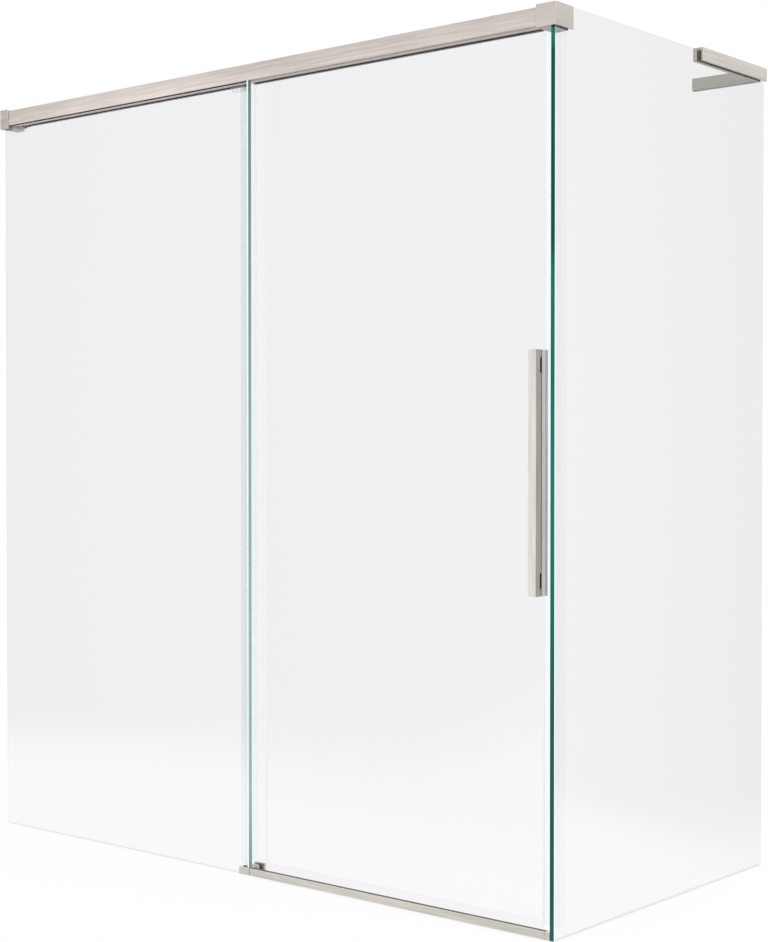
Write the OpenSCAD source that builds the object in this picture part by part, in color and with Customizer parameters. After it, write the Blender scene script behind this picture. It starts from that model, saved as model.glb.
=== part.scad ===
// Corner sliding bath screen: a fixed front panel, a sliding door hung from
// a top rail, and a side panel tied to the wall by an angled stabiliser.
//
// All modules are drawn from the outer front corner of the side glass:
// X runs along the front, negative towards the wall, Y runs inwards along
// the side glass, and Z = 0 is the rim that the screen stands on. place()
// then moves everything to the middle of the screen's footprint.

/* [Panels] */
// Length of the front, from the outer corner to the fixed glass's wall edge
screen_l = 1400; // [1250:10:1700]
// Length of the side glass
side_l = 690; // [560:10:900]
// Height of the side glass
glass_h = 1500; // [1300:10:1900]
// Width of the fixed front glass
fixed_w = 715; // [620:5:760]
// How far the closed door laps behind the fixed glass
overlap = 46; // [30:1:80]
// Thickness of the fixed and side glass
glass_t = 8; // [6:1:10]
// Thickness of the door glass
door_t = 6; // [5:1:8]
// Gap between the side glass and the closed door's edge
door_gap = 33; // [30:1:45]
// Arris ground on the long edges of the glass
arris = 0.8; // [0.3:0.1:1.5]
// Gap between the fixed glass and the wall
wall_gap_x = 8; // [5:1:15]
// Gap between the side glass and the wall
wall_gap_y = 3; // [2:1:10]

/* [Top rail] */
// Height of the rail's front face
rail_h = 30; // [30:1:40]
// How far the rail's top lies below the glass's top
rail_drop = 3.5; // [2:0.5:10]
// Thickness of the rail's front, back and roof
rail_wall = 2.5; // [2:0.1:3]
// Thickness of the web between the glass pocket and the roller lane
rail_web = 2; // [1.5:0.1:3]
// Depth of the pocket that takes the fixed glass
pocket_depth = 21; // [15:0.5:21]
// Rubber on each side of the glass in the pocket
pocket_rubber = 1; // [0.6:0.1:2]
// Width of the ledge that the rollers run above
ledge_w = 11; // [11:0.5:16]
// Thickness of that ledge
ledge_t = 3; // [2.8:0.1:3.5]
// Width of the slot that the door hangs through
slot_w = 13; // [12:0.5:18]
// Diameter of the steel track rod
rod_d = 4; // [3:0.5:4]
// Radius on the rail's long edges
rail_edge_r = 0.8; // [0.3:0.1:1.5]
// Bore of the screw ports in the extrusion's end
port_d = 3.3; // [2.5:0.1:3.5]
// Wall around a screw port
port_wall = 1.2; // [1:0.1:1.6]
// Shallow grooves along the rail's underside
groove_n = 3; // [0:1:4]
// Depth and width of one groove
groove_w = 0.5; // [0.3:0.1:0.8]

/* [Door hardware] */
// Rolling radius of a roller at the bottom of its groove
roll_r = 8; // [7:0.1:8.3]
// Width of a roller
roller_w = 8; // [6:0.5:8]
// Outer diameter of the roller's bearing
bearing_d = 11; // [9:0.5:12]
// Width of the bearing
bearing_w = 5; // [3:0.5:5.5]
// Diameter of the roller's axle
axle_d = 5; // [4:0.1:5.5]
// Length of one hanger bracket
hanger_l = 80; // [72:1:120]
// Thickness of the hanger bracket
hanger_t = 3; // [2:0.5:3]
// Height of the hanger bracket's upright leg
hanger_h = 16; // [14:0.5:17]
// Distance of each hanger's middle from the door's edge
hanger_inset = 90; // [60:1:160]
// Distance between a hanger's two rollers
roller_pitch = 50; // [44:1:52]
// Distance between a hanger's two screws
screw_pitch = 26; // [22:1:40]
// Height of the bonded carrier profile on the door's top edge
carrier_h = 16; // [14:0.5:17]
// Thickness of the carrier's solid top
carrier_top = 4; // [3:0.5:5]
// Thickness of the carrier's legs
carrier_leg = 1.5; // [1:0.1:2]
// Length of the corner shoe that meets the open stop
shoe_l = 21; // [15:1:30]
// How far the shoe hangs below the rail
shoe_drop = 10; // [6:0.5:15]

/* [Handle] */
// Length of the handle
handle_l = 400; // [250:10:600]
// Width of the handle
handle_w = 15.6; // [14:0.1:20]
// Depth of the grip bar
grip_d = 15; // [11:0.5:15]
// Shadow gap between the grip bar and its backing plate
grip_gap = 2.3; // [1.5:0.1:3]
// Thickness of the outer backing plate
backing_t = 4.2; // [3:0.1:4.5]
// Thickness of the plate on the inside of the door
inner_t = 5.9; // [4.5:0.1:7]
// Clear pad between a plate and the glass
pad_t = 0.5; // [0.3:0.1:1]
// Height of the dark spacer blocks
spacer_h = 25; // [16:1:30]
// Depth of the notch that a spacer sits in
spacer_notch = 3; // [2:0.5:4]
// Distance of a spacer's middle from the handle's end
spacer_inset = 25; // [18:1:50]
// Distance of the handle's bolts from the glass's edge
bolt_edge = 9.6; // [7:0.1:10]
// Diameter of the handle's bolts
bolt_d = 5; // [4:0.5:5]

/* [Corner clamp and wall cap] */
// Height of the corner clamp below the rail
clamp_below = 3.5; // [3:0.5:6]
// Wall of the clamp in front of the rail
clamp_front = 2; // [1.5:0.1:4]
// Cheek of the clamp outside the side glass
clamp_cheek = 1.9; // [1.5:0.1:3]
// Width of the clamp, inwards from the side glass's outer face
clamp_w = 36; // [34:1:50]
// Depth of the clamp along the side glass
clamp_d = 51; // [50:1:70]
// Wall between the rail's end and the side glass
clamp_core = 7.4; // [6.6:0.1:9]
// Rubber between a metal fitting and the glass it grips
grip_rubber = 0.6; // [0.4:0.1:1]
// Plate of the wall cap that is screwed to the wall
cap_plate = 4; // [3:0.5:6]
// Length of rail that the wall cap covers
cap_socket = 19; // [14:0.5:30]
// How far the wall cap stands proud of the rail
cap_proud = 2.5; // [2:0.1:4]
// How far the wall cap hangs below the rail
cap_below = 6.8; // [5:0.1:10]
// Diameter of the wall cap's screw holes
cap_hole_d = 5.2; // [4:0.1:6]
// Distance between the wall cap's screw holes
cap_hole_pitch = 12; // [9:0.5:12.5]
// Length of the open stop, with its buffer
stop_l = 31; // [24:1:40]
// Length of the open stop's foot under the rail
stop_foot_l = 14; // [12:0.5:24]
// How far the open stop's foot hangs below the rail
stop_drop = 3; // [3:0.5:8]
// Thickness of the open stop's rubber buffer
buffer_t = 3; // [2:0.5:5]

/* [Threshold and guide] */
// Height of the threshold rail
sill_h = 12.5; // [10:0.5:20]
// Depth of the threshold rail
sill_d = 10; // [8:0.5:14]
// Wall of the threshold rail
sill_wall = 1.5; // [1:0.1:2]
// Thickness of the sealing tape under the threshold
tape_t = 1.2; // [0.8:0.1:2]
// Width of the drip seal along the threshold's top
drip_w = 4.5; // [2:0.5:6]
// Height of the drip seal
drip_t = 0.8; // [0.5:0.1:2]
// Length of the cap at the threshold's far end
sill_cap_l = 10.7; // [6:0.1:14]
// Length of the tongues that plug into the threshold
tongue_l = 10; // [6:1:20]
// Width of the end block and of the door guide behind it
block_w = 27; // [24:1:40]
// Wall of the end block past the glass's edge
block_end = 3.4; // [2:0.1:6]
// Height of the end block
block_h = 13; // [11:0.5:18]
// Height of the door guide
guide_h = 15; // [13:0.5:20]
// Floor of the door guide
guide_floor = 2.2; // [1.5:0.1:2.8]
// Front wall of the door guide
guide_front = 4.2; // [3.2:0.1:5]
// Back wall of the door guide
guide_back = 4.7; // [3:0.1:6]
// Thickness of each sliding liner in the guide
liner_t = 3.2; // [2:0.1:3.5]
// Height of the door glass's lower edge above the rim
door_lift = 4.5; // [4:0.1:8]

/* [Stabiliser] */
// Length of the channel along the side glass
stab_l = 237; // [160:1:320]
// Height of the stabiliser
stab_h = 24; // [20:1:32]
// Outer wall of the channel
stab_outer = 4; // [3:0.1:6]
// Inner wall of the channel
stab_inner = 7.4; // [6:0.1:10]
// Web of the channel over the glass
stab_web = 5.4; // [4:0.1:8]
// Length of the arm along the wall
arm_l = 134; // [110:1:220]
// Depth of the arm along the wall
arm_d = 11; // [10:0.5:16]
// Diameter of the sockets for the wall pegs
peg_d = 8; // [6:0.5:10]
// Depth of those sockets
peg_depth = 8; // [6:0.5:8]
// Distance between the sockets
peg_pitch = 80; // [50:1:84]
// Radius on the long edges of the cast fittings
cast_edge_r = 0.8; // [0.3:0.1:1.5]

/* [Seals] */
// Thickness of the clear seals
seal_t = 1.5; // [1:0.1:2]
// Width of the strike seal's base on the side glass
strike_w = 26; // [18:1:40]
// Radius of the strike seal's hollow bulb
bulb_r = 4; // [3:0.1:5]
// Wall of the bulb
bulb_wall = 0.9; // [0.6:0.1:1.2]
// Width of the overlap seal's base on the fixed glass
lap_w = 12; // [8:1:20]
// Distance from the fixed glass's edge to the overlap seal
lap_inset = 7; // [4:1:12]

/* [Clearances] */
// Clearance of the rail in its sockets, and of the tongues
socket_fit = 0.15; // [0.05:0.05:0.3]
// Clearance of a screw in its hole
screw_fit = 0.1; // [0.05:0.05:0.2]
// Radial running clearance of a roller's bearing on its axle
running_fit = 0.03; // [0.01:0.01:0.08]
// Gap between a roller's groove and the track rod
track_gap = 0.3; // [0.2:0.05:0.5]
// Gap between moving parts that pass each other
moving_gap = 0.5; // [0.3:0.1:0.8]

/* [Hidden] */
$fn = 48;
nickel = [0.80, 0.77, 0.73];
steel = [0.72, 0.73, 0.75];
clear_glass = [0.86, 0.94, 0.92, 0.35];
clear_plastic = [0.90, 0.93, 0.94, 0.5];
grey_rubber = [0.35, 0.35, 0.35];
black_nylon = [0.06, 0.06, 0.06];
white_nylon = [0.88, 0.88, 0.86];

// Space left past a face by a cut that goes through it
cut = 1;
// Edge radii of the small extruded pieces and of the handle's bars
fine_edge_r = 0.4;
handle_edge_r = 0.6;
// Sockets in the screws, as shares of the head's radius and height
socket_r = 0.5;
socket_h = 0.6;
grub_socket = 0.56;
// Screw heads, as radius and height
end_screw_head = [3.2, 2.2];
stop_screw_head = [3.6, 2.5];
guide_screw_head = [2.6, 1.6];
joint_screw_head = [3.4, 2.2];
hanger_screw_head = [3.2, 2];
bolt_head = [4.2, 2.6];
// Screw and grub screw shanks
grub_d = 5;
grub_l = 6;
small_grub_d = 4;
guide_screw_d = 3;
end_screw_l = 22;
// How far screws bite into the piece they hold
guide_bite = 5;
joint_bite = 12;
bolt_bite = 8;
// Depth left past a screw's end in a blind hole
blind_end = 1;
// How far a grub screw is sunk below its hole's mouth
grub_sink = 0.2;

// Rail section, as Y and Z in the screen's frame
rail_z0 = glass_h - rail_drop - rail_h;
rail_z1 = rail_z0 + rail_h;
pocket_w = glass_t + 2 * pocket_rubber;
pocket_y1 = rail_wall + pocket_w;
pocket_z1 = rail_z0 + pocket_depth;
lane_y0 = pocket_y1 + rail_web;
slot_y0 = lane_y0 + ledge_w;
slot_y1 = slot_y0 + slot_w;
rail_d = slot_y1 + rail_wall;
ledge_z = rail_z0 + ledge_t;
roof_z = rail_z1 - rail_wall;
track_y = lane_y0 + ledge_w / 2;
rod_lift = 0.3;
rim_gap = 0.3;
rod_top = ledge_z + rod_lift + rod_d / 2;
port_r = port_d / 2 + port_wall;
front_port = [rail_wall + pocket_w / 2, roof_z - port_d / 2 - port_wall / 2];
rear_port = [slot_y1 - port_d / 2 - port_wall / 2, front_port[1]];

// Door, from its middle plane
door_y = (slot_y0 + slot_y1) / 2;
door_y0 = door_y - door_t / 2;
door_y1 = door_y + door_t / 2;
door_x1 = -glass_t - door_gap;
fixed_x1 = -screen_l + fixed_w;
door_x0 = fixed_x1 - overlap;
roll_z = rod_top + track_gap + roll_r;
rim_r = roll_r + track_gap + rod_d / 2 - rim_gap;
carrier_y0 = door_y0 - carrier_leg;
carrier_y1 = door_y1 + carrier_leg;
carrier_z0 = rail_z0 + ledge_t / 2;
carrier_z1 = carrier_z0 + carrier_h;
bond_t = 0.5;
door_z1 = carrier_z1 - carrier_top - bond_t;
hanger_y0 = carrier_y0 - hanger_t;
hanger_z1 = carrier_z1 + hanger_t;
hanger_x = [door_x0 + hanger_inset, door_x1 - hanger_inset];
roller_x = [for (h = hanger_x, s = [-1, 1]) h + s * roller_pitch / 2];
hanger_screw_x = [for (h = hanger_x, s = [-1, 1]) h + s * screw_pitch / 2];
roller_y0 = track_y - roller_w / 2;
roller_y1 = track_y + roller_w / 2;

// Glass held by the rail, and the pieces at the rail's two ends
fixed_y0 = rail_wall + pocket_rubber;
fixed_y1 = fixed_y0 + glass_t;
fixed_z1 = pocket_z1 - pocket_rubber;
wall_x = -screen_l - wall_gap_x;
wall_y = side_l + wall_gap_y;
cap_x1 = wall_x + cap_plate + cap_socket;
clamp_slot_x = [-glass_t - grip_rubber, grip_rubber];
rail_x0 = wall_x + cap_plate + moving_gap;
rail_x1 = clamp_slot_x[0] - clamp_core;
clamp_z0 = rail_z0 - clamp_below;
clamp_z1 = glass_h;
clamp_y1 = clamp_d - clamp_front;
clamp_grub_x = clamp_slot_x[0] - clamp_core / 2;
clamp_grub_y = [clamp_y1 - 20, clamp_y1 - 5.5];
cap_z1 = rail_z1 + cap_proud + 0.5;
cap_hole_y = slot_y0 + 1.5;
cap_hole_z = (ledge_z + roof_z) / 2 + 1;
cap_z0 = rail_z0 - cap_below;
stop_side = 1;
stop_y = [slot_y0 - stop_side, slot_y1 + stop_side];
stop_z0 = rail_z0 - stop_drop;
stop_x1 = cap_x1 + stop_l;
buffer_side = 1;
buffer_drop = 1;
stop_nut_t = 3;
stop_nut_l = 12;
nut_lap = 1.5;
stop_screw_l = ledge_z + stop_nut_t - stop_z0;
stop_screw_x = cap_x1 + stop_foot_l / 2;

// Threshold, end block and door guide
sill_x0 = fixed_x1 + grip_rubber + block_end;
sill_x1 = -glass_t;
block_x0 = sill_x0 - block_w;
guide_slot = door_t + 2 * (liner_t + moving_gap + socket_fit);
guide_y0 = door_y - guide_slot / 2 - guide_front;
guide_y1 = door_y + guide_slot / 2 + guide_back;
block_slot_y = [fixed_y0 - grip_rubber, fixed_y1 + grip_rubber];
block_screw_z = block_h / 2 + 0.5;
block_mid_x = (block_x0 + sill_x0) / 2;
guide_screw_x = [block_mid_x - 9.5, block_mid_x + 9.5];
block_grub_x = [block_mid_x - 4, block_mid_x + 4];

// Stabiliser
stab_y0 = wall_y - stab_l;
stab_z1 = glass_h + grip_rubber + stab_web;
stab_z0 = stab_z1 - stab_h;
stab_x0 = clamp_slot_x[0] - stab_inner;
stab_x1 = grip_rubber + stab_outer;
arm_x0 = stab_x0 - arm_l;
arm_y0 = wall_y - arm_d;
arm_mid_z = (stab_z0 + stab_z1) / 2;
peg_x = [arm_x0 + (arm_l - peg_pitch) / 2, arm_x0 + (arm_l + peg_pitch) / 2];
joint_screw_z = [arm_mid_z - 6, arm_mid_z + 6];
joint_screw_y = wall_y - arm_d / 2;

// Handle, flush with the door's closing edge
handle_x0 = door_x1 - handle_w;
handle_z0 = (glass_h - handle_l) / 2;
handle_z1 = handle_z0 + handle_l;
backing_y1 = door_y0 - pad_t;
backing_y0 = backing_y1 - backing_t;
grip_y1 = backing_y0 - grip_gap;
grip_y0 = grip_y1 - grip_d;
inner_y0 = door_y1 + pad_t;
inner_y1 = inner_y0 + inner_t;
bolt_x = door_x1 - bolt_edge;
bolt_z = [handle_z0 + spacer_inset, handle_z1 - spacer_inset];
bush_wall = 1;
bush_r = bolt_d / 2 + bush_wall;

// Footprint that place() centres
all_x = [wall_x, max(stab_x1, grip_rubber + clamp_cheek)];
all_y = [-max(cap_proud, clamp_front), wall_y];

module place() {
    translate([-(all_x[0] + all_x[1]) / 2, -(all_y[0] + all_y[1]) / 2, 0]) children();
}

// A section drawn as (Y, Z), run from x0 to x1
module along_x(x0, x1) {
    translate([x0, 0, 0]) rotate([90, 0, 90]) linear_extrude(x1 - x0) children();
}

// A section drawn as (X, Z), run from y0 to y1
module along_y(y0, y1) {
    translate([0, y1, 0]) rotate([90, 0, 0]) linear_extrude(y1 - y0) children();
}

// A section drawn as (X, Y), run from z0 to z1
module along_z(z0, z1) {
    translate([0, 0, z0]) linear_extrude(z1 - z0) children();
}

// Rectangle between two corners
module rect(a, b) {
    translate(a) square(b - a);
}

// Rectangle between two corners, with round corners
module round_rect(a, b, r) {
    rect([a[0] + r, a[1]], [b[0] - r, b[1]]);
    rect([a[0], a[1] + r], [b[0], b[1] - r]);
    for (x = [a[0] + r, b[0] - r], y = [a[1] + r, b[1] - r]) translate([x, y]) circle(r);
}

// Block between two corners
module block(a, b) {
    translate(a) cube(b - a);
}

// Plan of a glass panel, with its upright edges arrised
module glass_plan(a, b) {
    polygon([
        [a[0] + arris, a[1]], [b[0] - arris, a[1]], [b[0], a[1] + arris], [b[0], b[1] - arris],
        [b[0] - arris, b[1]], [a[0] + arris, b[1]], [a[0], b[1] - arris], [a[0], a[1] + arris]
    ]);
}

// Channel of one wall thickness, open downwards
module open_channel(a, b, t) {
    difference() {
        rect(a, b);
        rect([a[0] + t, a[1] - cut], [b[0] - t, b[1] - t]);
    }
}

// Screw with a socket head, its head's top at the origin and its shank down
module socket_screw(d, head_r, head_h, l) {
    difference() {
        union() {
            translate([0, 0, -head_h]) cylinder(r = head_r, h = head_h);
            translate([0, 0, -l]) cylinder(d = d, h = l - head_h / 2);
        }
        translate([0, 0, -head_h * socket_h]) cylinder(r = head_r * socket_r, h = head_h, $fn = 6);
    }
}

// Hole for that screw, with a counterbore for its head
module screw_hole(d, head_r, head_h, l) {
    translate([0, 0, -head_h - screw_fit]) cylinder(r = head_r + screw_fit, h = head_h + cut);
    translate([0, 0, -l]) cylinder(d = d + 2 * screw_fit, h = l);
}

// Headless screw, its socket at the origin and its body down
module grub_screw(d, l) {
    difference() {
        translate([0, 0, -l]) cylinder(d = d, h = l);
        translate([0, 0, -l / 2]) cylinder(d = d * grub_socket, h = l, $fn = 6);
    }
}

// Rail: fascia, glass pocket, roller lane with its ledge, and the door's slot
module rail_section() {
    difference() {
        round_rect([0, rail_z0], [rail_d, rail_z1], rail_edge_r);
        rect([rail_wall, rail_z0 - cut], [pocket_y1, pocket_z1]);
        difference() {
            rect([rail_wall, pocket_z1 + rail_web], [pocket_y1, roof_z]);
            translate(front_port) circle(port_r);
        }
        translate(front_port) circle(d = port_d);
        difference() {
            rect([lane_y0, ledge_z], [slot_y1, roof_z]);
            translate(rear_port) circle(port_r);
        }
        translate(rear_port) circle(d = port_d);
        rect([slot_y0, rail_z0 - cut], [slot_y1, ledge_z + cut]);
        translate([track_y, ledge_z + rod_lift]) circle(d = rod_d + screw_fit);
        for (i = [1:1:groove_n]) {
            y = lane_y0 + i * ledge_w / (groove_n + 1);
            rect([y - groove_w / 2, rail_z0 - cut], [y + groove_w / 2, rail_z0 + groove_w]);
        }
    }
}

module top_rail() {
    color(nickel) place() along_x(rail_x0, rail_x1) rail_section();
}

module track_rod() {
    color(steel) place() translate([rail_x0, track_y, ledge_z + rod_lift])
        rotate([0, 90, 0]) cylinder(d = rod_d, h = rail_x1 - rail_x0);
}

module fixed_glass_gasket() {
    color(grey_rubber) place() along_x(-screen_l, fixed_x1)
        open_channel([rail_wall, rail_z0 + moving_gap], [pocket_y1, pocket_z1], pocket_rubber);
}

// Snap-in strip that closes the pocket where the fixed glass ends
module pocket_cover() {
    lip = pocket_rubber;
    color(nickel) place() along_x(fixed_x1 + moving_gap, rail_x1) difference() {
        rect([rail_wall, rail_z0 + groove_w], [pocket_y1, rail_z0 + pocket_depth / 2]);
        rect([rail_wall + lip, rail_z0 + 2 * lip], [pocket_y1 - lip, rail_z0 + pocket_depth]);
        for (i = [1:1:groove_n]) {
            y = rail_wall + i * pocket_w / (groove_n + 1);
            rect([y - groove_w / 2, rail_z0 - cut], [y + groove_w / 2, rail_z0 + 2 * groove_w]);
        }
    }
}

// Cast corner: a socket for the rail's end beside a slot for the side glass
module corner_clamp() {
    color(nickel) place() difference() {
        along_z(clamp_z0, clamp_z1)
            round_rect([-clamp_w, -clamp_front], [grip_rubber + clamp_cheek, clamp_y1], cast_edge_r);
        block([-clamp_w - cut, -socket_fit, rail_z0 - socket_fit],
              [rail_x1, rail_d + socket_fit, rail_z1 + socket_fit]);
        block([clamp_slot_x[0], -socket_fit, clamp_z0 - cut],
              [clamp_slot_x[1], clamp_y1 + cut, clamp_z1 + cut]);
        for (p = [front_port, rear_port]) translate([clamp_slot_x[0], p[0], p[1]])
            rotate([0, 90, 0]) screw_hole(port_d, end_screw_head[0], end_screw_head[1], end_screw_l);
        clamp_grub_places() rotate([180, 0, 0])
            translate([0, 0, -grub_l - cut]) cylinder(d = grub_d + screw_fit, h = grub_l + 2 * cut);
    }
}

module clamp_grub_places() {
    for (y = clamp_grub_y) translate([clamp_grub_x, y, clamp_z0]) children();
}

// Rubber strips on both sides of the side glass, in the clamp's slot
module clamp_gasket() {
    color(grey_rubber) place() along_z(clamp_z0 + moving_gap, clamp_z1 - moving_gap) {
        rect([clamp_slot_x[0], 0], [-glass_t, clamp_y1]);
        rect([0, 0], [clamp_slot_x[1], clamp_y1]);
    }
}

module clamp_grub_screws() {
    color(steel) place() clamp_grub_places() rotate([180, 0, 0]) grub_screw(grub_d, grub_l);
}

module rail_end_screws() {
    color(steel) place() for (p = [front_port, rear_port])
        translate([clamp_slot_x[0] - screw_fit, p[0], p[1]]) rotate([0, 90, 0])
            socket_screw(port_d - 2 * running_fit, end_screw_head[0], end_screw_head[1], end_screw_l);
}

// Cap at the wall: a screwed plate and a socket that the rail slides into
module wall_cap() {
    color(nickel) place() difference() {
        along_x(wall_x, cap_x1)
            round_rect([-cap_proud, cap_z0], [rail_d + cap_proud, cap_z1], cast_edge_r);
        block([wall_x + cap_plate, -socket_fit, rail_z0 - socket_fit],
              [cap_x1 + cut, rail_d + socket_fit, rail_z1 + socket_fit]);
        block([wall_x + cap_plate, rail_wall, cap_z0 - cut], [cap_x1 + cut, pocket_y1, rail_z0 + cut]);
        for (s = [-1, 1])
            translate([wall_x - cut, cap_hole_y, cap_hole_z + s * cap_hole_pitch / 2])
                rotate([0, 90, 0]) cylinder(d = cap_hole_d, h = cap_plate + 2 * cut);
        cap_grub_place() translate([0, 0, rail_z1 - cap_z1 - cut])
            cylinder(d = small_grub_d + screw_fit, h = cap_z1 - rail_z1 + 2 * cut);
    }
}

module cap_grub_place() {
    translate([cap_x1 - cap_socket / 2, rail_d / 2, cap_z1]) children();
}

module wall_cap_grub_screw() {
    color(steel) place() cap_grub_place() grub_screw(small_grub_d, cap_z1 - rail_z1);
}

// Block under the rail's slot, with a tenon up the slot
module open_stop() {
    color(nickel) place() difference() {
        union() {
            block([cap_x1, stop_y[0], stop_z0], [cap_x1 + stop_foot_l, stop_y[1], rail_z0]);
            block([cap_x1, slot_y0 + socket_fit, rail_z0 - cut],
                  [stop_x1 - buffer_t, slot_y1 - socket_fit, ledge_z]);
        }
        stop_screw_place()
            screw_hole(small_grub_d, stop_screw_head[0], stop_screw_head[1], stop_screw_l + cut);
    }
}

module stop_screw_place() {
    translate([stop_screw_x, door_y, stop_z0]) rotate([180, 0, 0]) children();
}

module open_stop_buffer() {
    y0 = slot_y0 + buffer_side;
    y1 = slot_y1 - buffer_side;
    color(clear_plastic) place() along_x(stop_x1 - buffer_t, stop_x1)
        round_rect([y0, rail_z0 - buffer_drop], [y1, ledge_z], cast_edge_r);
}

// Plate above the ledge that the stop's screw pulls down on
module open_stop_nut() {
    color(steel) place() difference() {
        block([stop_screw_x - stop_nut_l / 2, stop_y[0] - nut_lap, ledge_z],
              [stop_screw_x + stop_nut_l / 2, slot_y1 - socket_fit, ledge_z + stop_nut_t]);
        translate([stop_screw_x, door_y, ledge_z - cut])
            cylinder(d = small_grub_d + 2 * screw_fit, h = stop_nut_t + 2 * cut);
    }
}

module open_stop_screw() {
    color(steel) place() stop_screw_place() translate([0, 0, -screw_fit])
        socket_screw(small_grub_d, stop_screw_head[0], stop_screw_head[1], stop_screw_l);
}

// Rubber plug in the slot that the closing door comes up against
module closing_buffer() {
    color(grey_rubber) place() along_x(door_x1 + moving_gap, rail_x1)
        rect([slot_y0 + socket_fit, rail_z0], [slot_y1 - socket_fit, carrier_z1 - 2]);
}

module fixed_glass() {
    color(clear_glass) place() along_z(0, fixed_z1)
        glass_plan([-screen_l, fixed_y0], [fixed_x1, fixed_y1]);
}

module side_glass() {
    color(clear_glass) place() along_z(0, glass_h) glass_plan([-glass_t, 0], [0, side_l]);
}

// Clear strip on the fixed glass's back, with a lip that wipes the door
module overlap_seal() {
    x1 = fixed_x1 - lap_inset;
    tip = door_y0 - moving_gap;
    knee = (fixed_y1 + tip) / 2;
    lip = seal_t * 0.6;
    reach = 4;
    color(clear_plastic) place() along_z(guide_h + 2, rail_z0 - 2) polygon([
        [x1 - lap_w, fixed_y1], [x1, fixed_y1], [x1, fixed_y1 + seal_t],
        [x1 + reach, knee], [x1 + reach + lip / 2, tip - lip], [x1 + reach - lip, tip],
        [x1 + reach - 2 * lip, knee + lip], [x1 - 2 * lip, fixed_y1 + seal_t],
        [x1 - lap_w, fixed_y1 + seal_t]
    ]);
}

// Clear strip on the side glass, with a soft bulb for the closing door
module strike_seal() {
    bulb_x = door_x1 + moving_gap + bulb_r;
    color(clear_plastic) place() along_z(sill_h + 1, clamp_z0 - 1) {
        rect([-glass_t - seal_t, door_y - strike_w / 2], [-glass_t, door_y + strike_w / 2]);
        difference() {
            union() {
                rect([bulb_x, door_y - seal_t / 2], [-glass_t - seal_t / 2, door_y + seal_t / 2]);
                translate([bulb_x, door_y]) circle(bulb_r);
            }
            translate([bulb_x, door_y]) circle(bulb_r - bulb_wall);
        }
    }
}

// Threshold: a low hollow bar, open below over its sealing tape
module threshold_rail() {
    color(nickel) place() along_x(sill_x0, sill_x1 - sill_cap_l) difference() {
        round_rect([0, 0], [sill_d, sill_h], fine_edge_r);
        rect([sill_wall, -cut], [sill_d - sill_wall, sill_h - sill_wall]);
    }
}

module threshold_tape() {
    color(grey_rubber) place()
        block([sill_x0, sill_wall, 0], [sill_x1 - sill_cap_l, sill_d - sill_wall, tape_t]);
}

// Rubber strip bonded along the back of the threshold's top, against drips from the door
module threshold_drip_seal() {
    color(grey_rubber) place()
        block([sill_x0 + moving_gap, sill_d - sill_wall - drip_w, sill_h],
              [sill_x1 - sill_cap_l, sill_d - sill_wall, sill_h + drip_t]);
}

// Section of the tongues that plug into the threshold's ends
module tongue_section() {
    rect([sill_wall + socket_fit, tape_t + socket_fit],
         [sill_d - sill_wall - socket_fit, sill_h - sill_wall - socket_fit]);
}

module threshold_end_cap() {
    color(nickel) place() {
        along_x(sill_x1 - sill_cap_l, sill_x1) round_rect([0, 0], [sill_d, sill_h], fine_edge_r);
        along_x(sill_x1 - sill_cap_l - tongue_l, sill_x1 - sill_cap_l + cut) tongue_section();
    }
}

// Block that grips the fixed glass's lower corner and plugs into the threshold
module end_block() {
    color(nickel) place() difference() {
        union() {
            along_z(0, block_h) round_rect([block_x0, 0], [sill_x0, guide_y0], fine_edge_r);
            along_x(sill_x0 - cut, sill_x0 + tongue_l) tongue_section();
        }
        block([block_x0 - cut, block_slot_y[0], -cut],
              [fixed_x1 + grip_rubber, block_slot_y[1], block_h + cut]);
        for (x = block_grub_x) translate([x, guide_y0 + cut, block_screw_z]) rotate([90, 0, 0])
            cylinder(d = small_grub_d + screw_fit, h = guide_y0 - block_slot_y[1] + 2 * cut);
        for (x = guide_screw_x) translate([x, guide_y0 + cut, block_screw_z]) rotate([90, 0, 0])
            cylinder(d = guide_screw_d + screw_fit, h = guide_bite + blind_end + cut);
    }
}

module end_block_liner() {
    color(grey_rubber) place() along_z(moving_gap, block_h) rotate(-90) translate([-fixed_y1, 0])
        mirror([1, 0]) translate([-glass_t, 0]) difference() {
            rect([-grip_rubber, block_x0], [glass_t + grip_rubber, fixed_x1 + grip_rubber]);
            rect([0, block_x0 - cut], [glass_t, fixed_x1]);
        }
}

module end_block_grub_screws() {
    color(steel) place() for (x = block_grub_x)
        translate([x, guide_y0 - grub_sink, block_screw_z]) rotate([-90, 0, 0])
            grub_screw(small_grub_d, guide_y0 - grub_sink - block_slot_y[1]);
}

// Forked guide that keeps the door's lower edge in line
module door_guide() {
    slot = [door_y - guide_slot / 2, door_y + guide_slot / 2];
    color(nickel) place() difference() {
        along_x(block_x0, sill_x0) difference() {
            round_rect([guide_y0, 0], [guide_y1, guide_h], fine_edge_r);
            rect([slot[0], guide_floor], [slot[1], guide_h + cut]);
        }
        for (x = guide_screw_x) translate([x, slot[0], block_screw_z]) rotate([-90, 0, 0])
            screw_hole(guide_screw_d, guide_screw_head[0], guide_screw_head[1], guide_front + cut);
    }
}

module door_guide_liners() {
    top = guide_h - moving_gap;
    lead = [1.2, 2];
    color(black_nylon) place() for (s = [-1, 1]) {
        inner = door_y + s * (door_t / 2 + moving_gap);
        outer = door_y + s * (guide_slot / 2 - socket_fit);
        along_x(block_x0 + 1, sill_x0 - 1) polygon([
            [inner, guide_floor], [outer, guide_floor], [outer, top],
            [inner + s * lead[0], top], [inner, top - lead[1]]
        ]);
    }
}

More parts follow.
